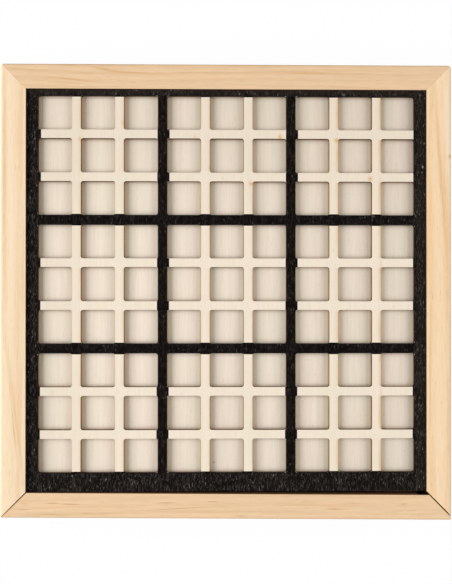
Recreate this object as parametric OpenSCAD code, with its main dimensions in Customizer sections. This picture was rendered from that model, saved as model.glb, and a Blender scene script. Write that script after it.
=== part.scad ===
// Wooden sudoku board: a mitred pine box. A laser-cut grid of 9 by 9 cells, with
// black printed lines round its blocks, is fixed in the top, and a drawer for the
// number tiles runs under it. The front rail of the box is the drawer's front.
// Millimetres. +Z is up and +Y points away from the player. The origin lies on
// the table, under the middle of the board.

/* [Playing grid] */
// Cells along one side of a block, and blocks along one side of the board
block_cells = 3; // [2:1:3]
// Side of the square opening of one cell
cell = 17.6; // [14:0.1:24]
// Width of the bars between neighbouring cells
bar = 4.4; // [3:0.1:7]
// Radius of the openings' corners
cell_r = 1.2; // [0.4:0.1:2.5]
// Thickness of the sheet that the cells are cut through
grid_t = 3; // [2:0.1:5]
// Thickness of the board under it, which is the floor of the cells
floor_board_t = 3; // [2:0.1:5]
// Grid sheet left and right of the outer cells, as far as the rails
side_margin = 5.7; // [4:0.1:15]
// Grid sheet behind the last row of cells, as far as the back rail
back_margin = 2.9; // [2:0.1:15]
// Grid sheet in front of the first row of cells, as far as its front edge
front_margin = 9.4; // [4:0.1:20]

/* [Print] */
// Thickness of the black print on the grid sheet
ink_t = 0.06; // [0.04:0.01:0.2]
// How far the print's upright lines run past the cells, on to the light bars
ink_side_overlap = 0.9; // [0.1:0.05:1.5]
// The same for the left and right borders of the print
ink_border_overlap = 1.15; // [0.1:0.05:1.5]
// How far the print's level lines run past the cells, on to the light bars
ink_overlap = 0.8; // [0.1:0.05:1.5]
// How far the print lies to the right of its true place
ink_shift = 0.3; // [-0.6:0.05:0.6]
// Lean of the print's upright lines against the bars, in degrees
ink_lean = 0.18; // [0:0.02:0.5]

/* [Rails] */
// Width of the four rails, seen from above
rail_w = 12.8; // [9:0.1:20]
// Height of the rails, which is the height of the board
rail_h = 28; // [24:0.5:45]
// Depth of the grid below the top of the rails
recess = 2; // [1:0.1:6]
// Radius of the long outer edges of the rails
edge_r = 1; // [0.3:0.1:2]
// Radius of the upright corners at the back of the box
corner_r = 2; // [0.5:0.1:4]
// Radius of the upright corners at its front
tip_r = 0.6; // [0.3:0.1:4]
// Depth of the grooves and rabbets that hold the boards
groove = 5; // [3:0.1:7]
// Play between a board's edge and the bottom of its groove
groove_play = 0.3; // [0.1:0.05:0.8]
// Thickness of the base panel
base_t = 3; // [2:0.1:5]
// How far the boards' front edges stay behind the inner corners of the mitres
front_setback = 0.05; // [0:0.05:1]

/* [Drawer] */
// Turn of the closed drawer, which leaves its right end proud, in degrees
drawer_skew = 0.48; // [0:0.02:0.6]
// Gap in the mitres between the drawer's front and the side rails
mitre_gap = 0.45; // [0.25:0.05:1]
// Gap behind the drawer's front at its left end
seat_gap = 0.1; // [0.1:0.05:1]
// Gap between the drawer's front and the table
floor_gap = 0.4; // [0.2:0.1:2]
// Gap between the tray and the base panel that it slides on
run_gap = 0.2; // [0.1:0.05:0.6]
// Gap between the top of the tray and the floor board over it
head_gap = 1.2; // [0.5:0.1:4]
// Gap between the tray and each side rail, half way along
side_gap = 1.6; // [1.3:0.1:4]
// Gap behind the tray
back_gap = 5; // [3:0.5:30]
// Thickness of the tray's floor
tray_floor_t = 2.5; // [2:0.1:4]
// Thickness of the tray's walls
tray_wall_t = 3; // [2:0.1:5]

/* [Hidden] */
$fn = 48;

// Room that the cutting shapes run past the solids that they cut
over = 1;
pine = [0.90, 0.78, 0.62];
pale_ply = [0.88, 0.82, 0.72];
floor_ply = [0.84, 0.76, 0.68];
ink = [0.08, 0.07, 0.07];

// Plan sizes
cells = block_cells * block_cells;
pitch = cell + bar;
grid_w = cells * pitch - bar;
inner_w = grid_w + 2 * side_margin;
case_w = inner_w + 2 * rail_w;
sheet_d = grid_w + back_margin + front_margin;
skew_reach = case_w * sin(drawer_skew) + seat_gap;
case_d = sheet_d + front_setback + 2 * rail_w;
back_y = (case_d + skew_reach) / 2;
inner_back_y = back_y - rail_w;
grid_y = inner_back_y - back_margin - grid_w / 2;
sheet_front_y = inner_back_y - sheet_d;
corner_y = sheet_front_y - front_setback;

// Heights
grid_top = rail_h - recess;
grid_z = grid_top - grid_t;
floor_board_z = grid_z - floor_board_t;
tray_z = base_t + run_gap;
tray_wall_h = floor_board_z - head_gap - tray_z - tray_floor_t;

// Drawer: slope of its turned front, the places along X of the front's two inner
// corners, which keep the gap in each mitre, and the tray in the drawer's frame
skew = tan(drawer_skew);
mitre_gap_x = sqrt(2) * mitre_gap;
front_left_x = -inner_w / 2 + (mitre_gap_x - seat_gap) / (1 + skew);
front_right_x = inner_w / 2 + (seat_gap + skew * inner_w - mitre_gap_x) / (1 - skew);
front_w = (front_right_x - front_left_x) / cos(drawer_skew);
tray_d = inner_back_y - back_gap - corner_y;
tray_w = inner_w - 2 * side_gap;
tray_x = (-front_left_x - tray_d / 2 * sin(drawer_skew)) / cos(drawer_skew) - tray_w / 2;

// Centre of column or row i, counted from the left or from the front
function cell_at(i) = (i - (cells - 1) / 2) * pitch;
// Start of block b along one side of the grid, from the grid's middle
function block_at(b) = cell_at(b * block_cells) - cell / 2;
block_w = block_cells * pitch - bar;

// Square with round corners, centred
module round_square(side, r) {
    square([side - 2 * r, side], center = true);
    square([side, side - 2 * r], center = true);
    for (x = [-1, 1], y = [-1, 1])
        translate([x, y] * (side / 2 - r)) circle(r);
}

module cell_openings() {
    for (x = [0:cells - 1], y = [0:cells - 1])
        translate([cell_at(x), grid_y + cell_at(y)]) round_square(cell, cell_r);
}

// Section of a rail, drawn with its outer face at x = 0 and its inner face at
// x = rail_w. The long outer edges are round.
module rail_section(height) {
    difference() {
        union() {
            translate([edge_r, 0]) square([rail_w - edge_r, height]);
            translate([0, edge_r]) square([rail_w, height - 2 * edge_r]);
            for (z = [edge_r, height - edge_r])
                translate([edge_r, z]) circle(edge_r);
        }
        children();
    }
}

// What a side or back rail loses: the groove for the two top boards, and the
// rabbet for the base panel
module board_seats() {
    translate([rail_w - groove, floor_board_z])
        square([groove + over, floor_board_t + grid_t]);
    translate([rail_w - groove, -over]) square([groove + over, base_t + over]);
}

// Rail along X from 0 to length, with its outer face on the line y = 0 and the
// rest of it on the +Y side. Both ends are mitred towards the middle, and the
// tips are rounded upright, each with its radius. The far tip may be cut back,
// square to the rail.
module mitred_rail(length, height, near_r, far_r, cut_back = 0) {
    tip = length - cut_back;
    intersection() {
        rotate([90, 0, 90]) linear_extrude(length) rail_section(height) children();
        translate([0, 0, -over]) linear_extrude(height + 2 * over) intersection() {
            polygon([[0, 0], [length, 0],
                     [length - rail_w - over, rail_w + over], [rail_w + over, rail_w + over]]);
            union() {
                translate([near_r, 0]) square([tip - near_r - far_r, rail_w + over]);
                translate([0, near_r]) square([tip / 2, rail_w + over]);
                translate([tip / 2, far_r]) square([tip / 2, rail_w + over]);
                translate([near_r, near_r]) circle(near_r);
                translate([tip - far_r, far_r]) circle(far_r);
            }
        }
    }
}

module back_rail() {
    color(pine) translate([case_w / 2, back_y, 0]) rotate([0, 0, 180])
        mitred_rail(case_w, rail_h, corner_r, corner_r) board_seats();
}

module left_rail() {
    color(pine) translate([-case_w / 2, back_y, 0]) rotate([0, 0, -90])
        mitred_rail(case_d, rail_h, corner_r, tip_r) board_seats();
}

module right_rail() {
    color(pine) mirror([1, 0, 0]) translate([-case_w / 2, back_y, 0]) rotate([0, 0, -90])
        mitred_rail(case_d, rail_h, corner_r, tip_r) board_seats();
}

// Outline of a board that sits in the grooves of three rails and has its front
// edge free behind the drawer's front
module seated_board() {
    reach = groove - groove_play;
    translate([-inner_w / 2 - reach, sheet_front_y])
        square([inner_w + 2 * reach, sheet_d + reach]);
}

module base_panel() {
    color(floor_ply) linear_extrude(base_t) seated_board();
}

module cell_floor_board() {
    color(floor_ply) translate([0, 0, floor_board_z])
        linear_extrude(floor_board_t) seated_board();
}

module grid_sheet() {
    color(pale_ply) translate([0, 0, grid_z]) linear_extrude(grid_t) difference() {
        seated_board();
        cell_openings();
    }
}

// Light field that the print leaves on one block. Its upright sides lean.
module unprinted_block(column, row) {
    left = column == 0 ? ink_border_overlap : ink_side_overlap;
    right = column == block_cells - 1 ? ink_border_overlap : ink_side_overlap;
    low = [block_at(column) + left + ink_shift, block_at(row) + ink_overlap];
    size = [block_w - left - right, block_w - 2 * ink_overlap];
    polygon([for (p = [[0, 0], [size.x, 0], size, [0, size.y]])
        [low.x + p.x + (low.y + p.y) * tan(ink_lean), grid_y + low.y + p.y]]);
}

module printed_lines() {
    color(ink) translate([0, 0, grid_top]) linear_extrude(ink_t) difference() {
        translate([-inner_w / 2, sheet_front_y]) square([inner_w, sheet_d]);
        for (column = [0:block_cells - 1], row = [0:block_cells - 1])
            unprinted_block(column, row);
        cell_openings();
    }
}

// The drawer's own frame: its origin is the inner left corner of its front, X
// runs along the front's inner face and Y into the case. It is turned as a whole.
module in_drawer() {
    translate([front_left_x, corner_y - seat_gap - skew * (front_left_x + inner_w / 2), 0])
        rotate([0, 0, -drawer_skew]) children();
}

// The front's right tip is cut back flush with the side of the case
module drawer_front() {
    color(pine) in_drawer() translate([-rail_w, -rail_w, floor_gap])
        mitred_rail(front_w + 2 * rail_w, rail_h - floor_gap, tip_r, tip_r,
                    max(0, front_right_x - inner_w / 2));
}

// Board of the tray, with its low left corner at a place counted from the
// tray's own front left corner
module tray_board(place, size) {
    color(pale_ply) in_drawer() translate([tray_x, 0, tray_z] + place) cube(size);
}

module drawer_floor() {
    tray_board([0, 0, 0], [tray_w, tray_d, tray_floor_t]);
}

module drawer_inner_front() {
    tray_board([0, 0, tray_floor_t], [tray_w, tray_wall_t, tray_wall_h]);
}

module drawer_back_wall() {
    tray_board([0, tray_d - tray_wall_t, tray_floor_t], [tray_w, tray_wall_t, tray_wall_h]);
}

module drawer_side_wall(x) {
    tray_board([x, tray_wall_t, tray_floor_t],
               [tray_wall_t, tray_d - 2 * tray_wall_t, tray_wall_h]);
}

module drawer_left_wall() { drawer_side_wall(0); }

module drawer_right_wall() { drawer_side_wall(tray_w - tray_wall_t); }

back_rail();
left_rail();
right_rail();
base_panel();
cell_floor_board();
grid_sheet();
printed_lines();
drawer_front();
drawer_inner_front();
drawer_floor();
drawer_left_wall();
drawer_right_wall();
drawer_back_wall();
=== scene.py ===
"""A wooden sudoku board, dressed for its photograph.

A mitred pine box carries a laser-cut grid of 81 cells in its top. Its front rail is the front
of a drawer for the number tiles. Metres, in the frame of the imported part; sizes that are
named in millimetres are turned into metres by MM where the meshes are made.
"""
import math

import bmesh
import bpy
from mathutils import Matrix, Vector


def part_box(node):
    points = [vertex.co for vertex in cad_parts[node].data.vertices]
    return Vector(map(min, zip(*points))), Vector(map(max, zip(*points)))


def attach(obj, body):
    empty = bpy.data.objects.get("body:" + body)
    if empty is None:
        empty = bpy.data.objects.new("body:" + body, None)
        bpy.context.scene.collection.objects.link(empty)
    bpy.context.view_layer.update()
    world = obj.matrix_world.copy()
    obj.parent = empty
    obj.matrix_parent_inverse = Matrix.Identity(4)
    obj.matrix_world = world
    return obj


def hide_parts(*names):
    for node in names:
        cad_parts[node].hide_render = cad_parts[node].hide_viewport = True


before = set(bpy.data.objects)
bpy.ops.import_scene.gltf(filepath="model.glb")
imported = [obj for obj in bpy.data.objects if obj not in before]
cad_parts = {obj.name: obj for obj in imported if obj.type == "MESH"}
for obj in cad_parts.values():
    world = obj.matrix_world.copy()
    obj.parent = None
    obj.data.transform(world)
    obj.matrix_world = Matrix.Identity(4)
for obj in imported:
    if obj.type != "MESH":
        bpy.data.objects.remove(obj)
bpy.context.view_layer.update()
MM = 0.001


# Pine rails. Planed pine, 12.8 by 28 mm, with the long outer edges rounded by sanding and a
# broken arris inside. Both ends are cut at 45 degrees. Three rails are glued into the case
# and have a groove for the two top boards and a rabbet for the base panel.
EDGE_ROUND = 1.0
BACK_ROUND = 2.0
TIP_ROUND = 0.3
ARRIS = 0.22
TIP_LENGTH = 3.0
MITRE_LEAN = 0.26
LEAN_DEPTH = 6.0
GROOVE = 5.0
rail_low, rail_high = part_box("back_rail")
rail_height = rail_high.z / MM
half_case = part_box("right_rail")[1].x / MM
rail_width = (rail_high.y - rail_low.y) / MM
back_y = rail_high.y / MM
base_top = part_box("base_panel")[1].z / MM
floor_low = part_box("cell_floor_board")[0].z / MM
grid_low, grid_high = (corner.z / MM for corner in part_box("grid_sheet"))


def round_over(reach, radius):
    """How far a rounded edge falls back at a distance from its outer face."""
    short = max(0.0, radius - reach)
    return radius - math.sqrt(radius * radius - short * short)


def rail_section(height, seats, kinks=()):
    """Ring of (inward, up) points round a rail's section, and how many of them, counted from
    the outer face, lie alike at the bottom and at the top."""
    meets = [radius * (1 - math.sqrt(0.5)) for radius in (BACK_ROUND, TIP_ROUND)]
    outer = [EDGE_ROUND * (1 - math.cos(math.radians(15 * step))) for step in range(7)]
    outer = sorted(set(outer + meets + [kink for kink in kinks if kink > EDGE_ROUND]))
    low = [(s, round_over(s, EDGE_ROUND)) for s in outer]
    soft = ARRIS * 0.3
    lip = [(rail_width, height - ARRIS), (rail_width - soft, height - soft),
           (rail_width - ARRIS, height)]
    if seats:
        inner = rail_width - GROOVE
        middle = [(inner, 0), (inner, base_top), (rail_width, base_top), (rail_width, floor_low),
                  (inner, floor_low), (inner, grid_high), (rail_width, grid_high)]
    else:
        middle = [(rail_width - ARRIS, 0), (rail_width - soft, soft), (rail_width, ARRIS)]
    high = [(s, height - z) for s, z in reversed(low)]
    return low + middle + lip + high, len(low)


def drawn_in(ring, depth):
    """The ring moved inwards by a depth, for the arris of a sawn end."""
    moved = []
    for i, point in enumerate(ring):
        before, here, after = Vector(ring[i - 1]), Vector(point), Vector(ring[(i + 1) % len(ring)])
        one, two = (here - before).normalized(), (after - here).normalized()
        lean = Vector((-(one.y + two.y), one.x + two.x))
        if lean.length < 1e-6:
            lean = Vector((-one.y, one.x))
        lean.normalize()
        spread = max(0.5, lean.dot(Vector((-one.y, one.x))))
        moved.append(here + lean * depth / spread)
    return moved


def rail_mesh(name, length, height, place, arrises, rounds, snug=0.0, leans=(0.0, 0.0),
              seats=True, cut_back=0.0):
    """A mitred rail: its outer face lies on the line from 0 to length, and place puts it in
    the frame. Arrises, rounds and leans are those of its two ends. Snug is how far both ends
    reach, and leans how much further they do so below and at the outer corner. The far tip is
    cut back square to the outer face."""
    tip = length - cut_back
    ring, paired = rail_section(height, seats, [cut_back, TIP_LENGTH])

    def reach(lean, s, z):
        return snug + lean * min(1.0, max((height - z) / LEAN_DEPTH, 1 - s / TIP_LENGTH))

    def near(s, z):
        return max(s - reach(leans[0], s, z), round_over(s, rounds[0]))

    def far(s, z):
        return min(length - s + reach(leans[1], s, z), tip - round_over(s, rounds[1]))

    steps = [arris * math.sqrt(2) for arris in arrises]
    rows = [[(near(s, z), *p) for (s, z), p in zip(ring, drawn_in(ring, arrises[0]))],
            [(near(s, z) + steps[0], s, z) for s, z in ring],
            [(far(s, z) - steps[1], s, z) for s, z in ring],
            [(far(s, z), *p) for (s, z), p in zip(ring, drawn_in(ring, arrises[1]))]]
    bm = bmesh.new()
    verts = [[bm.verts.new(place @ (Vector(p) * MM)) for p in row] for row in rows]
    count = len(ring)
    for row, following in zip(verts, verts[1:]):
        for i in range(count):
            j = (i + 1) % count
            bm.faces.new((row[i], row[j], following[j], following[i]))
    for row in (verts[0], verts[-1]):
        for i in range(paired - 1):
            bm.faces.new((row[i], row[i + 1], row[count - 2 - i], row[count - 1 - i]))
        bm.faces.new(row[paired - 1:count - paired + 1])
    return finished_mesh(bm, name)


def finished_mesh(bm, name):
    """The mesh with its faces outwards, smooth but for the edges that turn by 35 degrees."""
    bmesh.ops.recalc_face_normals(bm, faces=bm.faces)
    for face in bm.faces:
        face.smooth = True
    for edge in bm.edges:
        edge.smooth = len(edge.link_faces) == 2 and edge.calc_face_angle() < math.radians(35)
    mesh = bpy.data.meshes.new(name)
    bm.to_mesh(mesh)
    bm.free()
    return mesh


def put_on(name, mesh, body, node, slot, *materials):
    """Links a finished piece, which rides on a body and stands for a CAD node."""
    piece = bpy.data.objects.new(name, mesh)
    bpy.context.scene.collection.objects.link(piece)
    for material in materials:
        mesh.materials.append(material)
    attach(piece, body)
    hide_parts(node)
    return piece


def srgb(*colour):
    """A colour read as 0 to 255, as Blender's linear values."""
    parts = [c / 255 for c in colour]
    return tuple(p / 12.92 if p <= 0.04045 else ((p + 0.055) / 1.055) ** 2.4 for p in parts) + (1.0,)


def new_finish(name):
    """An empty material, its tree and its shader."""
    material = bpy.data.materials.new(name)
    material.use_nodes = True
    return material, material.node_tree, material.node_tree.nodes["Principled BSDF"]


def add(tree, kind, inputs, output=0, **settings):
    """Adds a node with its settings, sets or links its inputs, and returns one output."""
    node = tree.nodes.new(kind)
    for key, value in settings.items():
        setattr(node, key, value)
    for key, value in inputs.items():
        if isinstance(value, bpy.types.NodeSocket):
            tree.links.new(value, node.inputs[key])
        else:
            node.inputs[key].default_value = value
    return node.outputs[output]


def calc(tree, operation, *values):
    """A Math node."""
    return add(tree, "ShaderNodeMath", dict(enumerate(values)), operation=operation)


def smooth(tree, value, start, end):
    """0 before start and 1 after end, with a soft step between; start may be the larger."""
    return add(tree, "ShaderNodeMapRange", {"Value": value, "From Min": start, "From Max": end},
               interpolation_type="SMOOTHSTEP")


def tint(tree, share, under, over, mode="MIX"):
    """One colour laid over another; the Mix node's sockets 6 and 7 are its two colours."""
    return add(tree, "ShaderNodeMix", {0: share, 6: under, 7: over}, output=2,
               data_type="RGBA", blend_type=mode)


def millimetres(tree, order="XYZ", turn=0.0):
    """The object's coordinates in millimetres, one output each, in the given order, after a
    turn about Z."""
    spot = add(tree, "ShaderNodeTexCoord", {}, output="Object")
    if turn:
        spot = add(tree, "ShaderNodeMapping", {"Vector": spot, "Rotation": (0, 0, turn)})
    split = add(tree, "ShaderNodeVectorMath", {0: spot, "Scale": 1 / MM}, operation="SCALE")
    node = tree.nodes.new("ShaderNodeSeparateXYZ")
    tree.links.new(split, node.inputs[0])
    return [node.outputs[axis] for axis in order]


def shaded(tree, colour, value, span, shades):
    """The colour, made darker or lighter as the value goes through its span."""
    shade = add(tree, "ShaderNodeMapRange", {"Value": value, "From Min": span[0], "From Max": span[1],
                                             "To Min": shades[0], "To Max": shades[1]})
    grey = add(tree, "ShaderNodeCombineColor", {0: shade, 1: shade, 2: shade})
    return tint(tree, 1.0, colour, grey, "MULTIPLY")


def raise_grain(tree, shader, height, strength, depth):
    """Bump on the shader, with its depth in millimetres."""
    bump = add(tree, "ShaderNodeBump", {"Strength": strength, "Distance": depth * MM, "Height": height})
    tree.links.new(bump, shader.inputs["Normal"])


def turned_to(tree, axis):
    """How far the surface faces along one of the object's axes, from -1 to 1."""
    facing = add(tree, "ShaderNodeTexCoord", {}, output="Normal")
    node = tree.nodes.new("ShaderNodeSeparateXYZ")
    tree.links.new(facing, node.inputs[0])
    return node.outputs[axis]


def drawn_noise(tree, spots, sizes, seed, detail=2.0, roughness=0.5):
    """Noise whose grains have the given sizes in millimetres along the three spots."""
    shifted = [calc(tree, "MULTIPLY_ADD", spot, 1 / size, seed * shift)
               for spot, size, shift in zip(spots, sizes, (1.37, 2.11, 0.73))]
    vector = add(tree, "ShaderNodeCombineXYZ", dict(enumerate(shifted)))
    return add(tree, "ShaderNodeTexNoise", {"Vector": vector, "Scale": 1.0, "Detail": detail,
                                            "Roughness": roughness})


def marks_on(tree, along, across, marks):
    """Sum of soft spots and streaks. A mark is its place along and across, its half length
    and half width, its slope and its strength. It falls to 1/e, or 0.368, at its half sizes."""
    total = None
    for place, side, half_length, half_width, slope, strength in marks:
        run = calc(tree, "SUBTRACT", along, place)
        off = calc(tree, "SUBTRACT", across, side)
        off = calc(tree, "MULTIPLY_ADD", run, -slope, off)
        far = calc(tree, "POWER", calc(tree, "DIVIDE", run, half_length), 2.0)
        wide = calc(tree, "POWER", calc(tree, "DIVIDE", off, half_width), 2.0)
        fall = calc(tree, "POWER", 0.368, calc(tree, "ADD", far, wide))
        total = calc(tree, "MULTIPLY_ADD", fall, strength, total if total is not None else 0.0)
    return total


def pine(name, order, early, late, pith, spacing, phase, seed, dark, pale=(), rings=0.8,
         resin=(208, 154, 82), lip_shade_colours=((44, 27, 16), (74, 48, 30)), worn=0.0, black_shade_from=None):
    """Planed pine. Growth rings round a pith that lies (inward, up) of the case's frame, fine
    fibres along the rail, resin dashes, darker end grain with painted shade on the chamfers of
    the open mitres, listed streaks, dark as resin or pale, and an inner lip browned with painted
    shade, which may turn black with painted shade from a place along the rail on. Worn is the
    share of painted shade on the upper outer edge. Order names the axes along, across and up."""
    material, tree, shader = new_finish(name)
    along, across, up = millimetres(tree, order)
    spots = (along, across, up)
    sway = calc(tree, "SUBTRACT", drawn_noise(tree, spots, (120, 26, 26), seed), 0.5)
    ripple = calc(tree, "SUBTRACT", drawn_noise(tree, spots, (26, 7, 7), seed + 3), 0.5)
    sideways = calc(tree, "SUBTRACT", across, pith[0])
    sideways = calc(tree, "MULTIPLY_ADD", sway, 9.0, sideways)
    sideways = calc(tree, "MULTIPLY_ADD", ripple, 1.2, sideways)
    upward = calc(tree, "SUBTRACT", up, pith[1])
    squares = calc(tree, "ADD", calc(tree, "MULTIPLY", sideways, sideways),
                   calc(tree, "MULTIPLY", upward, upward))
    years = calc(tree, "MULTIPLY_ADD", calc(tree, "SQRT", squares), 1 / spacing, phase)
    year = calc(tree, "FRACT", years)
    dense = calc(tree, "MULTIPLY", smooth(tree, year, 0.25, 0.82), smooth(tree, year, 1.0, 0.88))
    patch = smooth(tree, drawn_noise(tree, spots, (60, 3.5, 3.5), seed + 5), 0.38, 0.68)
    soft = calc(tree, "MULTIPLY_ADD", patch, rings, 0.12)
    dense = calc(tree, "MULTIPLY", dense, soft)
    colour = tint(tree, dense, srgb(*early), srgb(*late))
    warm = smooth(tree, drawn_noise(tree, spots, (70, 4.5, 4.5), seed + 7), 0.45, 0.75)
    colour = tint(tree, calc(tree, "MULTIPLY", warm, 0.35), colour, srgb(246, 205, 165))
    fibre = drawn_noise(tree, spots, (9, 0.7, 0.7), seed + 9, detail=3, roughness=0.62)
    colour = shaded(tree, colour, fibre, (0.3, 0.7), (0.94, 1.045))
    dash = smooth(tree, drawn_noise(tree, spots, (6, 0.45, 0.45), seed + 11, detail=1), 0.66, 0.78)
    colour = tint(tree, calc(tree, "MULTIPLY", dash, 0.4), colour, srgb(200, 146, 96))
    # End grain is darker, and on the chamfers of the open mitres its colour is painted shade in the gap.
    sawn_and_gap_shade = calc(tree, "MULTIPLY",
                smooth(tree, calc(tree, "ABSOLUTE", across), half_case + 0.3, half_case - 0.4),
                smooth(tree, calc(tree, "ABSOLUTE", turned_to(tree, order[0])), 0.35, 0.45))
    end = tint(tree, smooth(tree, turned_to(tree, "Z"), 0.3, 0.6), srgb(150, 102, 60), srgb(160, 88, 0))
    colour = tint(tree, calc(tree, "MULTIPLY", sawn_and_gap_shade, 0.95), colour, end)
    inward = calc(tree, "MULTIPLY", turned_to(tree, order[1]), calc(tree, "SIGN", across))
    # Painted shade on the inner lip: brown, and where a place is given, darker lower down and black from
    # that place on.
    lip_shade_foot = (14.0, 17.0) if black_shade_from else (19.0, 25.0)
    lip = calc(tree, "MULTIPLY", smooth(tree, inward, -0.3, -0.9), smooth(tree, up, *lip_shade_foot))
    feather = calc(tree, "MULTIPLY_ADD", drawn_noise(tree, spots, (9, 0.5, 0.5), seed + 13), 1.4, 0.3)
    feather = calc(tree, "MULTIPLY", feather, smooth(tree, up, 23.0, 27.0))
    for marks, over in ((pale, srgb(252, 232, 204)), (dark, srgb(*resin))):
        if marks:
            flame = calc(tree, "MULTIPLY", marks_on(tree, along, across, marks), feather)
            colour = tint(tree, calc(tree, "MINIMUM", flame, 1.0), colour, over)
    brown = tint(tree, fibre, *(srgb(*c) for c in lip_shade_colours))
    if black_shade_from:
        brown = tint(tree, smooth(tree, up, 25.0, 19.0), brown, srgb(40, 24, 14))
        brown = tint(tree, smooth(tree, along, black_shade_from, black_shade_from + 0.7), brown, srgb(10, 4, 2))
    colour = tint(tree, lip, colour, brown)
    # Painted shade on the upper outer rounded edge, as much as worn gives.
    outer_edge_shade = calc(tree, "MULTIPLY", smooth(tree, inward, 0.15, 0.6), smooth(tree, up, 26.5, 27.2))
    colour = tint(tree, calc(tree, "MULTIPLY", outer_edge_shade, worn), colour, srgb(112, 104, 94))
    tree.links.new(colour, shader.inputs["Base Color"])
    shader.inputs["Specular IOR Level"].default_value = 0.3
    tree.links.new(calc(tree, "MULTIPLY_ADD", sawn_and_gap_shade, 0.38, 0.62), shader.inputs["Roughness"])
    raise_grain(tree, shader, fibre, 0.25, 0.05)
    return material


CREAM = (249, 223, 188)
GLUED = 0.02
OPEN = 0.2
FRONT_SETBACK = 0.05
inner_half = half_case - rail_width
front_corner_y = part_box("grid_sheet")[0].y / MM - FRONT_SETBACK
side_length = back_y - front_corner_y + rail_width
# All three rails take painted shade on their inner lip, and the back and right rails on their upper
# outer edge too.
pine_back = pine("pine_back_rail", "XYZ", (233, 200, 161), (216, 174, 127), (0, 60), 3.6, 0.2, 1, [
    (-62.3, 114.0, 6, 0.5, -0.16, 0.65), (-48, 112.4, 14, 0.4, -0.06, 0.3),
    (-80, 108.9, 13, 0.45, -0.1, 0.55), (-83, 107.2, 8, 0.3, -0.05, 0.35),
    (-81, 116.2, 3, 0.4, 0.0, 0.5), (41, 112.4, 8, 0.4, 0.0, 0.4), (60, 113.8, 26, 0.7, 0.01, 0.2)],
    rings=0.45, worn=0.25)
pine_left = pine("pine_left_rail", "YXZ", CREAM, (236, 196, 146), (-138, -40), 4.6, 0.35, 2, [
    (60, -113.4, 60, 1.1, 0.0, 0.4), (-60, -108.0, 40, 0.9, -0.128, 0.27),
    (-62, -109.2, 20, 0.35, -0.1, 0.22), (-73, -108.2, 5, 0.35, -0.1, 0.4)],
    [(40, -110.0, 70, 1.8, 0.0, 0.4)], rings=0.42)
pine_right = pine("pine_right_rail", "YXZ", (247, 217, 177), (234, 188, 134), (136, -35), 3.8, 0.1, 3, [
    (64, 109.7, 36, 1.0, -0.072, 0.42), (-35, 104.3, 26, 0.4, 0.01, 0.4),
    (69.8, 114.6, 1.2, 0.6, 0.0, 0.9)],
    [(86, 113.2, 28, 1.5, -0.03, 0.6), (-60, 108.6, 45, 2.0, 0.0, 0.3)], rings=0.42, worn=0.15)
to_back = Matrix.Translation((half_case * MM, back_y * MM, 0)) @ Matrix.Rotation(math.pi, 4, "Z")
to_left = Matrix.Translation((-half_case * MM, back_y * MM, 0)) @ Matrix.Rotation(-math.pi / 2, 4, "Z")
to_right = Matrix.Scale(-1, 4, (1, 0, 0)) @ to_left
for node, length, place, arris, tip_round, lean, material in (
        ("back_rail", 2 * half_case, to_back, GLUED, BACK_ROUND, 0.0, pine_back),
        ("left_rail", side_length, to_left, OPEN, TIP_ROUND, 0.0, pine_left),
        ("right_rail", side_length, to_right, OPEN, TIP_ROUND, MITRE_LEAN, pine_right)):
    mesh = rail_mesh("pine_" + node, length, rail_height, place, (GLUED, arris),
                     (BACK_ROUND, tip_round), leans=(0.0, lean))
    put_on("pine_" + node, mesh, "case", node, "pine", material)


# The underside: a panel of 3 mm light plywood with its face grain along the board's depth,
# glued into the rails' rabbet. Its front edge shows three plies when the drawer is out.
def plywood(name, faces, seed, bottom, thickness, edge=(196, 160, 118), contrast=1.0,
            order="XYZ", turn=0.0):
    """Rotary-cut light plywood: two face colours that drift into each other across the grain,
    fine fibres, short dark flecks, and edges of three plies. Order names the axes across the
    grain, along it and through the board, after a turn about Z."""
    material, tree, shader = new_finish(name)
    spots = millimetres(tree, order, turn)
    drift = smooth(tree, drawn_noise(tree, spots, (9, 70, 40), seed), 0.3, 0.7)
    colour = tint(tree, drift, srgb(*faces[0]), srgb(*faces[1]))
    band = drawn_noise(tree, spots, (1.7, 60, 40), seed + 2, detail=3)
    fibre = drawn_noise(tree, spots, (0.6, 12, 12), seed + 4, detail=2, roughness=0.6)
    total = calc(tree, "MULTIPLY_ADD", band, 0.9, calc(tree, "MULTIPLY", fibre, 1.1))
    colour = shaded(tree, colour, total, (0.6, 1.4), (1 - 0.045 * contrast, 1 + 0.035 * contrast))
    fleck = smooth(tree, drawn_noise(tree, spots, (0.4, 2.6, 2.6), seed + 6, detail=1), 0.68, 0.8)
    colour = tint(tree, calc(tree, "MULTIPLY", fleck, 0.22 * contrast), colour, srgb(170, 135, 100))
    on_edge = smooth(tree, calc(tree, "ABSOLUTE", turned_to(tree, order[2])), 0.75, 0.6)
    depth = calc(tree, "DIVIDE", calc(tree, "SUBTRACT", spots[2], bottom), thickness)
    core = calc(tree, "MULTIPLY", smooth(tree, depth, 0.24, 0.27), smooth(tree, depth, 0.76, 0.73))
    grain = drawn_noise(tree, spots, (0.8, 0.8, 0.5), seed + 8, detail=3)
    layers = tint(tree, core, srgb(*(min(255, c + 26) for c in edge)), srgb(*edge))
    layers = tint(tree, calc(tree, "MULTIPLY", grain, 0.5), layers, srgb(*(c - 40 for c in edge)))
    colour = tint(tree, on_edge, colour, layers)
    tree.links.new(colour, shader.inputs["Base Color"])
    shader.inputs["Roughness"].default_value = 0.7
    shader.inputs["Specular IOR Level"].default_value = 0.25
    raise_grain(tree, shader, total, 0.2, 0.04)
    return material, tree, spots, colour


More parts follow.
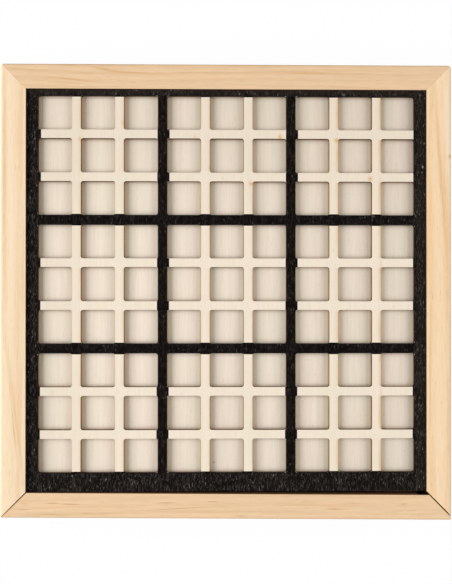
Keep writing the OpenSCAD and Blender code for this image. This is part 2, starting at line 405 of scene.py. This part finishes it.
def sawn_board(node, arris=0.2):
    """A board of the part with its sawn edges broken: a merged copy of the CAD solid."""
    bm = bmesh.new()
    bm.from_mesh(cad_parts[node].data)
    bmesh.ops.remove_doubles(bm, verts=bm.verts, dist=1e-6)
    bmesh.ops.dissolve_limit(bm, angle_limit=math.radians(1), verts=bm.verts, edges=bm.edges)
    edges = [e for e in bm.edges if e.calc_face_angle(0) > math.radians(40)]
    bmesh.ops.bevel(bm, geom=edges, offset=arris * MM, segments=2, profile=0.5, affect="EDGES")
    mesh = finished_mesh(bm, node + "_board")
    if "custom_normal" in mesh.attributes:
        mesh.attributes.remove(mesh.attributes["custom_normal"])
    return mesh


base_ply = plywood("base_plywood", ((230, 212, 182), (224, 200, 168)), 31, 0, base_top,
                   contrast=1.6)[0]
put_on("underside_panel", sawn_board("base_panel"), "case", "base_panel", "base_plywood", base_ply)


# The grid and its floor: a laser-cut sheet of 3 mm light plywood lies on a plain board in the
# rails' groove. Its bars are a little wider between the blocks. The cut burns the walls of the
# 81 openings brown, and its smoke stains the face beside them. The floor at their foot has
# painted shade.
CELL = 17.6
BAR = 4.4
PITCH = CELL + BAR
CELL_CORNER = 1.2
SIDE = 9
WIDER = (0.16, 0.33)
INK_REACH = (0.08, 0.36)
BACK_MARGIN = 2.9
sheet_low, sheet_high = (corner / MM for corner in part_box("grid_sheet"))
grid_y = back_y - rail_width - BACK_MARGIN - (SIDE * PITCH - BAR) / 2


def socket(tree, name, kind, value=None):
    """A named input of a Geometry Nodes tree; returns its identifier."""
    made = tree.interface.new_socket(name, in_out="INPUT", socket_type="NodeSocket" + kind)
    if value is not None:
        made.default_value = value
    return made.identifier


def grow(tree, kind, inputs, output=0, **settings):
    """Adds a geometry node, sets or links its inputs, and returns one output."""
    return add(tree, "GeometryNode" + kind, inputs, output, **settings)


def grid_tree():
    """The laser's work: an outline and a grid of openings with round corners, filled and
    raised to the sheet's thickness, with one material on its faces and one on the cuts."""
    tree = bpy.data.node_groups.new("laser_cut_grid", "GeometryNodeTree")
    names = (("Openings per side", "Int", SIDE), ("Pitch", "Float", PITCH * MM),
             ("Opening", "Float", CELL * MM), ("Corner radius", "Float", CELL_CORNER * MM),
             ("Thickness", "Float", (grid_high - grid_low) * MM),
             ("Sheet width", "Float", 0.2), ("Sheet depth", "Float", 0.2),
             ("Sheet centre", "Vector", None), ("Grid centre", "Vector", None),
             ("Face material", "Material", None), ("Cut material", "Material", None))
    keys = {name: socket(tree, name, kind, value) for name, kind, value in names}
    tree.interface.new_socket("Geometry", in_out="OUTPUT", socket_type="NodeSocketGeometry")
    given = tree.nodes.new("NodeGroupInput").outputs
    span = add(tree, "ShaderNodeMath", {0: given["Openings per side"], 1: 1.0}, operation="SUBTRACT")
    span = add(tree, "ShaderNodeMath", {0: span, 1: given["Pitch"]}, operation="MULTIPLY")
    points = grow(tree, "MeshGrid", {"Size X": span, "Size Y": span,
                                     "Vertices X": given["Openings per side"],
                                     "Vertices Y": given["Openings per side"]})
    points = grow(tree, "Transform", {"Geometry": points, "Translation": given["Grid centre"]})
    square = grow(tree, "CurvePrimitiveQuadrilateral",
                  {"Width": given["Opening"], "Height": given["Opening"]})
    square = grow(tree, "FilletCurve", {"Curve": square, "Radius": given["Corner radius"],
                                        "Count": 5}, mode="POLY")
    squares = grow(tree, "InstanceOnPoints", {"Points": points, "Instance": square})
    squares = grow(tree, "RealizeInstances", {"Geometry": squares})
    outline = grow(tree, "CurvePrimitiveQuadrilateral",
                   {"Width": given["Sheet width"], "Height": given["Sheet depth"]})
    outline = grow(tree, "Transform", {"Geometry": outline, "Translation": given["Sheet centre"]})
    both = tree.nodes.new("GeometryNodeJoinGeometry")
    tree.links.new(squares, both.inputs[0])
    tree.links.new(outline, both.inputs[0])
    flat = grow(tree, "FillCurve", {"Curve": both.outputs[0]}, mode="TRIANGLES")
    raised = tree.nodes.new("GeometryNodeExtrudeMesh")
    raised.inputs["Individual"].default_value = False
    tree.links.new(flat, raised.inputs["Mesh"])
    tree.links.new(given["Thickness"], raised.inputs["Offset Scale"])
    closed = tree.nodes.new("GeometryNodeJoinGeometry")
    tree.links.new(grow(tree, "FlipFaces", {"Mesh": flat}), closed.inputs[0])
    tree.links.new(raised.outputs["Mesh"], closed.inputs[0])
    solid = grow(tree, "MergeByDistance", {"Geometry": closed.outputs[0], "Distance": 1e-6})
    solid = grow(tree, "RealizeInstances", {"Geometry": solid})
    faced = grow(tree, "SetMaterial", {"Geometry": solid, "Material": given["Face material"]})
    cut = grow(tree, "SetMaterial", {"Geometry": faced, "Selection": raised.outputs["Side"],
                                     "Material": given["Cut material"]})
    done = tree.nodes.new("NodeGroupOutput")
    tree.links.new(cut, done.inputs["Geometry"])
    return tree, keys


def grown_mesh(tree, keys, values):
    """The plain mesh that a Geometry Nodes tree makes of the values."""
    holder = bpy.data.objects.new("holder", bpy.data.meshes.new("holder"))
    bpy.context.scene.collection.objects.link(holder)
    modifier = holder.modifiers.new("grown", "NODES")
    modifier.node_group = tree
    for name, value in values.items():
        modifier[keys[name]] = value
    depsgraph = bpy.context.evaluated_depsgraph_get()
    mesh = bpy.data.meshes.new_from_object(holder.evaluated_get(depsgraph))
    holder.modifiers.remove(modifier)
    bpy.data.objects.remove(holder)
    return mesh


def widen_block_lines(mesh):
    """Moves the openings' walls beside the bars between two blocks, with their round corners,
    into the cells: the sheet's bars are a little wider there."""
    for vertex in mesh.vertices:
        for axis, middle in ((0, 0.0), (1, grid_y)):
            away = vertex.co[axis] / MM - middle
            off = abs(away) - 1.5 * PITCH
            if abs(off) < BAR / 2 + CELL_CORNER + 0.1:
                vertex.co[axis] += math.copysign(WIDER[axis] * MM, off * away)


def in_its_cell(tree, x, y):
    """A place's offsets from the middle of its cell, the cell's bars included."""
    return [calc(tree, "WRAP", calc(tree, "SUBTRACT", spot, middle), PITCH / 2, -PITCH / 2)
            for spot, middle in ((x, 0.0), (y, grid_y))]


def beside_openings(tree, offsets):
    """Distance from the edge of the cell's opening, in millimetres: above 0 on the bars, and
    below 0 over the floor."""
    beyond = [calc(tree, "SUBTRACT", calc(tree, "ABSOLUTE", offset), CELL / 2 - CELL_CORNER)
              for offset in offsets]
    squares = [calc(tree, "POWER", calc(tree, "MAXIMUM", side, 0.0), 2.0) for side in beyond]
    corner = calc(tree, "SQRT", calc(tree, "ADD", *squares))
    inside = calc(tree, "MINIMUM", calc(tree, "MAXIMUM", *beyond), 0.0)
    return calc(tree, "SUBTRACT", calc(tree, "ADD", corner, inside), CELL_CORNER)


def beside_block_lines(tree, x, y):
    """Distances along X and Y from the edges of the nearest bars between two blocks."""
    return [calc(tree, "SUBTRACT", calc(tree, "ABSOLUTE", calc(
        tree, "SUBTRACT", calc(tree, "ABSOLUTE", calc(tree, "SUBTRACT", spot, middle)), 1.5 * PITCH)),
        BAR / 2 + wider) for spot, middle, wider in ((x, 0.0, WIDER[0]), (y, grid_y, WIDER[1]))]


def painted_falloff(tree, colour, x, y):
    """The colour, a little darker towards the back and the sides of the board: painted shade."""
    sides = calc(tree, "MULTIPLY_ADD", smooth(tree, x, 80.0, 105.0), 0.3, smooth(tree, x, -60.0, -105.0))
    share = calc(tree, "MULTIPLY_ADD", smooth(tree, y, 10.0, 105.0), 0.8, sides)
    return tint(tree, calc(tree, "MINIMUM", share, 1.3), colour, (0.93, 0.925, 0.92, 1.0), "MULTIPLY")


def grid_face():
    """The grid's face: light plywood. The smoke browned it at the left of the openings, most
    in the outer columns, and scorched it in some places. Ink covers the bars between two
    blocks, and reaches into the corners where they cross."""
    material, tree, spots, colour = plywood("grid_plywood", ((244, 229, 210), (241, 229, 207)), 41,
                                            grid_low, grid_high - grid_low, contrast=1.2)
    x, y, _ = spots
    # Painted shade: the face a little darker towards the back and the sides of the board.
    colour = painted_falloff(tree, colour, x, y)
    offsets = in_its_cell(tree, x, y)
    gap = beside_openings(tree, offsets)
    uneven = smooth(tree, drawn_noise(tree, spots, (9, 14, 9), 47, detail=3), 0.3, 0.7)
    leeward = calc(tree, "MULTIPLY", smooth(tree, offsets[0], -CELL / 2 + 0.4, -CELL / 2 - 0.4),
                   smooth(tree, calc(tree, "ABSOLUTE", offsets[1]), CELL / 2 + 0.6, CELL / 2 - 1.2))
    outer = calc(tree, "MULTIPLY_ADD", smooth(tree, x, -30.0, -85.0), 0.3, smooth(tree, x, 25.0, 85.0))
    share = calc(tree, "MULTIPLY_ADD", outer, 0.4, 0.22)
    brown_by_walls = calc(tree, "MULTIPLY", leeward, smooth(tree, gap, 1.9, 0.0))
    brown_by_walls = calc(tree, "MULTIPLY", brown_by_walls, calc(tree, "MULTIPLY_ADD", uneven, 0.8, 0.5))
    brown_by_walls = calc(tree, "MINIMUM", calc(tree, "MULTIPLY", brown_by_walls, share), 1.0)
    colour = tint(tree, brown_by_walls, colour, srgb(232, 178, 112))
    scorch = marks_on(tree, y, x, [
        (92.3, -74.4, 8.0, 0.45, 0.0, 0.7), (78.7, -75.3, 1.3, 0.8, 0.0, 0.6),
        (87.0, -53.0, 1.5, 0.8, 0.0, 0.5), (80.0, -16.3, 1.2, 0.8, 0.0, 0.35),
        (80.0, 27.3, 1.2, 1.0, 0.0, 0.9), (64.0, -8.9, 1.0, 0.7, 0.0, 0.5),
        (55.9, 12.3, 1.0, 0.9, 0.0, 0.85), (93.3, 57.0, 8.0, 0.4, 0.0, 0.65),
        (78.3, 56.5, 1.0, 1.2, 0.0, 0.95), (70.4, 56.8, 3.0, 0.4, 0.0, 0.6),
        (58.6, 73.8, 1.2, 1.1, 0.0, 0.8), (93.2, 79.0, 8.0, 0.4, 0.0, 0.6),
        (56.0, 79.0, 4.0, 0.5, 0.0, 0.45), (13.8, 79.4, 4.0, 0.5, 0.0, 0.4),
        (-53.1, 79.4, 5.0, 0.5, 0.0, 0.4)])
    colour = tint(tree, calc(tree, "MINIMUM", scorch, 1.0), colour, srgb(226, 172, 104))
    side, level = beside_block_lines(tree, x, y)
    beyond = calc(tree, "MINIMUM", calc(tree, "SUBTRACT", side, INK_REACH[0]),
                  calc(tree, "SUBTRACT", level, INK_REACH[1]))
    crossing = calc(tree, "SUBTRACT", calc(tree, "MAXIMUM", side, level), CELL_CORNER)
    inked = smooth(tree, calc(tree, "MINIMUM", beyond, crossing), 0.06, 0.0)
    colour = tint(tree, inked, colour, srgb(16, 13, 12))
    tree.links.new(colour, tree.nodes["Principled BSDF"].inputs["Base Color"])
    return material


def burnt_cut():
    """The walls that the laser left: charred, darkest at the face, with upright streaks. They
    are black where the cut went through the print."""
    material, tree, shader = new_finish("laser_burnt_edge")
    spots = millimetres(tree, "XYZ")
    streak = drawn_noise(tree, spots, (0.5, 0.5, 6), 53, detail=2)
    patch = smooth(tree, drawn_noise(tree, spots, (16, 16, 16), 55), 0.35, 0.65)
    height = calc(tree, "DIVIDE", calc(tree, "SUBTRACT", spots[2], grid_low), grid_high - grid_low)
    dark = calc(tree, "MULTIPLY_ADD", streak, 0.5, smooth(tree, height, 0.35, 0.9))
    brown = tint(tree, patch, srgb(118, 90, 56), srgb(168, 122, 76))
    colour = tint(tree, calc(tree, "MINIMUM", dark, 1.0), brown, srgb(50, 38, 24))
    near_lines = [smooth(tree, calc(tree, "ABSOLUTE", calc(
        tree, "WRAP", calc(tree, "SUBTRACT", spot, middle), 1.5 * PITCH, -1.5 * PITCH)),
        1.5 * PITCH - BAR / 2 - 0.6, 1.5 * PITCH - BAR / 2 - 0.4)
        for spot, middle in ((spots[0], 0.0), (spots[1], grid_y))]
    inked = calc(tree, "MULTIPLY", calc(tree, "MAXIMUM", *near_lines), smooth(tree, height, -0.1, 0.3))
    colour = tint(tree, inked, colour, srgb(14, 10, 8))
    tree.links.new(colour, shader.inputs["Base Color"])
    shader.inputs["Roughness"].default_value = 0.8
    shader.inputs["Specular IOR Level"].default_value = 0.15
    return material


def cell_floor():
    """The floor board's face: light plywood, with painted shade: a little darker towards the back
    and the sides, and brown at the foot of the openings' walls. Painted warm light lies beside
    their left walls, and less beside their right ones.
    """
    material, tree, spots, colour = plywood("floor_plywood", ((243, 226, 209), (239, 227, 206)), 20,
                                            floor_low, grid_low - floor_low, contrast=1.5)
    x, y, _ = spots
    offsets = in_its_cell(tree, x, y)
    gap = beside_openings(tree, offsets)
    # Painted shade at the foot of the walls, in brown.
    brown_by_walls = calc(tree, "MULTIPLY_ADD", smooth(tree, gap, -0.45, 0.0), 0.5,
                 calc(tree, "MULTIPLY", smooth(tree, gap, -1.5, 0.0), 0.2))
    colour = tint(tree, brown_by_walls, painted_falloff(tree, colour, x, y), srgb(150, 112, 72))
    # Painted warm light in the shade beside the left walls, and less beside the right ones.
    leeward = calc(tree, "MAXIMUM", smooth(tree, offsets[0], 4.0 - CELL / 2, 0.3 - CELL / 2),
                   calc(tree, "MULTIPLY", smooth(tree, offsets[0], CELL / 2 - 3.0, CELL / 2), 0.4))
    colour = tint(tree, leeward, colour, (1.13, 1.07, 0.92, 1.0), "MULTIPLY")
    knot = marks_on(tree, y, x, [(-87.6, -6.5, 0.5, 0.5, 0.0, 0.6)])
    colour = tint(tree, knot, colour, srgb(110, 84, 58))
    tree.links.new(colour, tree.nodes["Principled BSDF"].inputs["Base Color"])
    return material


put_on("floor_of_the_cells", sawn_board("cell_floor_board", 0.05), "case", "cell_floor_board",
       "floor_plywood", cell_floor())
tree, keys = grid_tree()
middle = (sheet_low + sheet_high) / 2
grid_mesh = grown_mesh(tree, keys, {
    "Openings per side": SIDE, "Pitch": PITCH * MM, "Opening": CELL * MM,
    "Corner radius": CELL_CORNER * MM, "Thickness": (grid_high - grid_low) * MM,
    "Sheet width": (sheet_high.x - sheet_low.x) * MM, "Sheet depth": (sheet_high.y - sheet_low.y) * MM,
    "Sheet centre": (middle.x * MM, middle.y * MM, 0.0), "Grid centre": (0.0, grid_y * MM, 0.0),
    "Face material": grid_face(), "Cut material": burnt_cut()})
grid_mesh.transform(Matrix.Translation((0, 0, grid_low * MM)))
widen_block_lines(grid_mesh)
put_on("laser_cut_grid", grid_mesh, "case", "grid_sheet", "grid_plywood")


# The print: black ink screened on the grid's face round the nine blocks. It lies thicker in the
# lines than in the wide borders, where the open grain of the plywood shows as short grey flecks.
def black_print():
    """Screened ink: clouded, worn through to grey fibres and flecks, thin at the back."""
    material, tree, shader = new_finish("black_print")
    spots = millimetres(tree, "XYZ")
    x, y, _ = spots
    away = calc(tree, "MAXIMUM", calc(tree, "ABSOLUTE", x),
                calc(tree, "ABSOLUTE", calc(tree, "SUBTRACT", y, grid_y)))
    border = smooth(tree, away, (SIDE * PITCH - BAR) / 2 - 1, (SIDE * PITCH - BAR) / 2 + 1)
    cloud = drawn_noise(tree, spots, (12, 18, 10), 61)
    ink = tint(tree, border, srgb(6, 4, 4), srgb(11, 9, 8))
    worn = calc(tree, "MULTIPLY_ADD", border, 0.55, 0.45)
    colour = tint(tree, calc(tree, "MULTIPLY", cloud, worn), ink, srgb(24, 20, 17))
    thin = calc(tree, "MAXIMUM", smooth(tree, y, grid_y + 96, grid_y + 101),
                calc(tree, "MULTIPLY", smooth(tree, x, 96.0, 101.0), 0.5))
    colour = tint(tree, calc(tree, "MULTIPLY", thin, 0.45), colour, srgb(62, 50, 42))
    fibre = drawn_noise(tree, spots, (0.5, 2.8, 2.8), 62, detail=2, roughness=0.65)
    colour = tint(tree, calc(tree, "MULTIPLY", smooth(tree, fibre, 0.5, 0.64),
                             calc(tree, "MULTIPLY", worn, 0.6)), colour, srgb(70, 63, 59))
    fleck = drawn_noise(tree, spots, (0.42, 1.9, 1.9), 63, detail=1, roughness=0.6)
    fleck = smooth(tree, fleck, 0.63, 0.73)
    where = smooth(tree, drawn_noise(tree, spots, (5, 6, 6), 65), 0.35, 0.65)
    strength = calc(tree, "MULTIPLY", fleck, calc(tree, "MULTIPLY_ADD", where, 0.65, 0.25))
    strength = calc(tree, "MULTIPLY", strength, worn)
    colour = tint(tree, strength, colour, srgb(122, 117, 114))
    shader.inputs["Roughness"].default_value = 0.6
    shader.inputs["Specular IOR Level"].default_value = 0.02
    speck = marks_on(tree, y, x, [(64.7, 101.0, 0.5, 0.4, 0.0, 0.8)])
    tree.links.new(tint(tree, speck, colour, srgb(190, 184, 176)), shader.inputs["Base Color"])
    raise_grain(tree, shader, fleck, 0.3, 0.03)
    return material


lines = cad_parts["printed_lines"]
lines.data.materials.clear()
lines.data.materials.append(black_print())


# The drawer's front: the fourth pine rail, glued to the tray. It is mitred at both ends, and
# sits turned by half a degree. It leaves a hair's gap to the side rails, which closes downwards
# and at the outer corners.
SKEW = math.radians(0.48)
MITRE_GAP = 0.45
SEAT_GAP = 0.1
FLOOR_GAP = 0.4
MITRE_SNUG = 0.34
gap_x = math.sqrt(2) * MITRE_GAP
slope = math.tan(SKEW)
front_left = -inner_half + (gap_x - SEAT_GAP) / (1 + slope)
front_right = inner_half + (SEAT_GAP + slope * 2 * inner_half - gap_x) / (1 - slope)
front_length = (front_right - front_left) / math.cos(SKEW) + 2 * rail_width
front_y = front_corner_y - SEAT_GAP - slope * (front_left + inner_half)
to_front = (Matrix.Translation((front_left * MM, front_y * MM, 0)) @ Matrix.Rotation(-SKEW, 4, "Z")
            @ Matrix.Translation((-rail_width * MM, -rail_width * MM, FLOOR_GAP * MM)))
# The drawer's front takes painted shade on its inner lip, lighter at the top, darker lower down and
# black near its right end, and on its upper outer edge.
pine_front = pine("pine_drawer_front", "XYZ", (236, 203, 163), (222, 179, 132), (-20, 80), 3.4, 0.6, 4, [
    (-79.5, -107.9, 4.5, 0.2, -0.03, 1.2), (-103, -107.6, 1.6, 0.25, 0.0, 0.8),
    (-88.8, -107.4, 3, 0.2, 0.0, 1.2), (-30.8, -107.4, 4, 0.24, 0.02, 1.0),
    (-103.4, -110.5, 2.6, 0.24, 0.0, 0.8), (-7, -106.9, 3, 0.22, 0.0, 0.9),
    (-23.4, -110.2, 20, 0.22, 0.05, 0.7), (-71.3, -112.6, 3.6, 0.22, 0.0, 0.8),
    (-89, -113, 5.5, 0.3, -0.01, 0.6),
    (55, -110.8, 5, 0.3, -0.02, 0.7), (64.7, -108.2, 3.5, 0.26, 0.0, 0.6),
    (90.3, -108.4, 1.5, 0.26, 0.0, 0.7), (6.8, -114.2, 2.5, 0.26, 0.0, 0.7)],
    rings=0.3, resin=(206, 160, 122), lip_shade_colours=((92, 60, 36), (124, 86, 56)), worn=0.15, black_shade_from=98.0)
front_mesh = rail_mesh("pine_drawer_front", front_length, rail_height - FLOOR_GAP, to_front,
                       (OPEN, OPEN), (TIP_ROUND, TIP_ROUND), MITRE_SNUG, (MITRE_LEAN, 0.0),
                       seats=False, cut_back=max(0.0, front_right - inner_half))
put_on("pine_drawer_front", front_mesh, "drawer", "drawer_front", "pine", pine_front)


# The tray behind it: five boards of light plywood, glued edge to edge. The floor is 2.5 mm
# thick, and the four walls are 3 mm, with their face grain running round the tray.
def board_span(node, axis):
    """Lowest place and thickness of a board along one of the drawer's own axes."""
    back = Matrix.Rotation(SKEW, 3, "Z")
    places = [(back @ corner.co)["XYZ".index(axis)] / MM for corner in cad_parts[node].data.vertices]
    return min(places), max(places) - min(places)


for count, (node, order) in enumerate((("drawer_inner_front", "ZXY"), ("drawer_floor", "XYZ"),
                                       ("drawer_left_wall", "ZYX"), ("drawer_right_wall", "ZYX"),
                                       ("drawer_back_wall", "ZXY"))):
    # The inner front's ply edges are darker: painted shade for its top edge, seen down the gap behind
    # the drawer's front.
    edge = (150, 116, 82) if node == "drawer_inner_front" else (196, 160, 118)
    ply = plywood(node + "_plywood", ((229, 210, 181), (223, 201, 169)), 71 + 12 * count,
                  *board_span(node, order[2]), edge, contrast=1.4, order=order, turn=SKEW)[0]
    put_on(node + "_board", sawn_board(node), "drawer", node, "tray_plywood", ply)


# The set: a white table, two soft boxes low at the left and the right, and a pale room. The
# camera hangs over the board, as in the photograph.
def soft_box(name, place, size, power):
    """An area light that is aimed at the board."""
    light = bpy.data.lights.new(name, "AREA")
    light.shape = "RECTANGLE"
    light.size, light.size_y = size
    light.energy = power
    holder = bpy.data.objects.new(name, light)
    holder.location = place
    holder.rotation_euler = (Vector((0, 0, 0.02)) - Vector(place)).to_track_quat("-Z", "Y").to_euler()
    bpy.context.scene.collection.objects.link(holder)


def seen_straight(tree):
    """1 where the camera sees a surface itself, in a mirror or through glass, and 0 in the
    light that it gives."""
    ray = tree.nodes.new("ShaderNodeLightPath")
    mirrored = calc(tree, "MAXIMUM", ray.outputs["Is Camera Ray"], ray.outputs["Is Glossy Ray"])
    return calc(tree, "MAXIMUM", mirrored, ray.outputs["Is Transmission Ray"])


soft_box("left_soft_box", (-1.9, -0.04, 1.48), (2.25, 1.57), 55.8)
soft_box("right_soft_box", (1.9, -0.04, 1.48), (2.25, 1.57), 27.3)

table_top = bmesh.new()
bmesh.ops.create_circle(table_top, cap_ends=True, segments=96, radius=2.0)
table = bpy.data.objects.new("table_top", bpy.data.meshes.new("table_top"))
table_top.to_mesh(table.data)
table_top.free()
bpy.context.scene.collection.objects.link(table)
white, tree, shader = new_finish("white_table")
shader.inputs["Base Color"].default_value = (0.92, 0.92, 0.92, 1)
shader.inputs["Roughness"].default_value = 0.9
glow = add(tree, "ShaderNodeEmission", {"Color": (1, 1, 1, 1), "Strength": 1.0})
free = add(tree, "ShaderNodeAmbientOcclusion", {"Distance": 0.05}, output="AO", samples=8)
bright = calc(tree, "MULTIPLY", smooth(tree, free, 0.05, 0.3), 0.95)
bright = calc(tree, "MULTIPLY", seen_straight(tree), bright)
both = add(tree, "ShaderNodeMixShader", {0: bright, 1: shader.outputs[0], 2: glow})
tree.links.new(both, tree.nodes["Material Output"].inputs["Surface"])
table.data.materials.append(white)

ROOM_LIGHT = 0.245
room = bpy.data.worlds.new("pale_room")
room.use_nodes = True
bpy.context.scene.world = room
tree = room.node_tree
backdrop = tree.nodes["Background"]
backdrop.inputs["Color"].default_value = (1, 1, 1, 1)
strength = calc(tree, "MULTIPLY_ADD", seen_straight(tree), 1 - ROOM_LIGHT, ROOM_LIGHT)
tree.links.new(strength, backdrop.inputs["Strength"])

eye = bpy.data.cameras.new("camera")
eye.sensor_fit = "HORIZONTAL"
eye.sensor_width = 36
eye.lens = 76.815
eye.clip_start, eye.clip_end = 0.01, 20
camera = bpy.data.objects.new("camera", eye)
camera.location = (-0.009535, -0.001695, 0.521)
camera.rotation_euler = tuple(math.radians(turn) for turn in (0.22624, -1.05804, 0.02224))
bpy.context.scene.collection.objects.link(camera)
bpy.context.scene.camera = camera
bpy.context.scene.view_settings.view_transform = "Standard"
